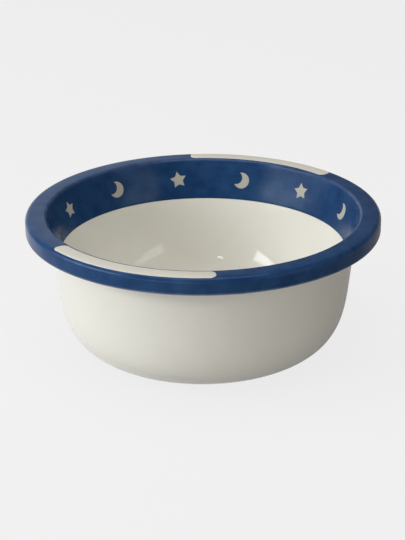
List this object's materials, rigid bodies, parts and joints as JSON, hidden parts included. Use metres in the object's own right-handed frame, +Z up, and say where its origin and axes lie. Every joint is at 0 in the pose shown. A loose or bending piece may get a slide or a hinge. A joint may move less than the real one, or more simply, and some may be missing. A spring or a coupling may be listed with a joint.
{
  "type": "salad bowl",
  "caption": "Round open salad bowl: off-white moulded shell with a wide blue rim collar, star and crescent inlays inside the rim, and bare plaques on top.",
  "frame": {"origin": "centre of the foot ring's underside, where the bowl stands", "axes": "+Z up along the bowl's axis; +Y away from the side that the picture shows, +X to the picture's right"},
  "size_m": [0.24, 0.24, 0.098],
  "materials": {
    "shell": "glossy off-white moulding",
    "rim": "glossy navy blue, slightly uneven in tone",
    "inlay": "semi-gloss ivory",
    "plaque": "glossy off-white, bare"
  },
  "bodies": {
    "root": {"bowl_shell": "shell", "rim_collar": "rim", "star_inlay_1": "inlay", "star_inlay_2": "inlay", "star_inlay_3": "inlay", "star_inlay_4": "inlay", "star_inlay_5": "inlay", "star_inlay_6": "inlay", "moon_inlay_1": "inlay", "moon_inlay_2": "inlay", "moon_inlay_3": "inlay", "moon_inlay_4": "inlay", "moon_inlay_5": "inlay", "moon_inlay_6": "inlay", "front_plaque": "plaque", "rear_plaque": "plaque"}
  },
  "joints": []
}
